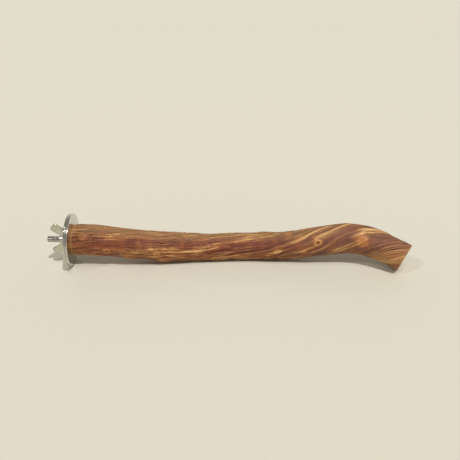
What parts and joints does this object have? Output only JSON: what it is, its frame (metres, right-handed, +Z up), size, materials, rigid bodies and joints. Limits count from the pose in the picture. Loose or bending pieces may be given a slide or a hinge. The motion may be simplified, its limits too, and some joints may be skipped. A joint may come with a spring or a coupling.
{
  "type": "bolt-on branch perch",
  "caption": "Natural peeled branch perch with a bent tip, bolted end-on to a cage wall by a stud, two wide washers and a wing nut.",
  "frame": {"origin": "on the bolt axis, at the plane where the two washers meet and the cage wall is clamped", "axes": "stored as it lies at rest on a level table: +Z up, +X level and along the branch from the bolt towards the tip, the bolt pointing along -X and tilted up by 4 degrees"},
  "size_m": [0.3445, 0.0716, 0.0502],
  "materials": {
    "wood": "satin",
    "bolt_steel": "satin",
    "washer_steel": "polished",
    "nut_steel": "satin"
  },
  "bodies": {
    "perch": {"branch": "wood", "hanger_bolt": "bolt_steel"},
    "inner_washer": {"inner_washer": "washer_steel"},
    "outer_washer": {"outer_washer": "washer_steel"},
    "wing_nut": {"wing_nut": "nut_steel"}
  },
  "joints": [
    {"name": "inner_washer_spin", "type": "hinge", "parent": "perch", "child": "inner_washer", "pos_m": [0, 0, 0], "axis": [-0.9976, 0, 0.0698], "continuous": true},
    {"name": "outer_washer_slide", "type": "slide", "parent": "perch", "child": "outer_washer", "axis": [-0.9976, 0, 0.0698], "range_m": [0, 0.022]},
    {"name": "wing_nut_turn", "type": "hinge", "parent": "outer_washer", "child": "wing_nut", "pos_m": [0, 0, 0], "axis": [-0.9976, 0, 0.0698], "range_deg": [0, 7920]}
  ],
  "couplings": [
    {"joint": "wing_nut_turn", "follows": "outer_washer_slide", "rad_per_m": 6283.2}
  ]
}
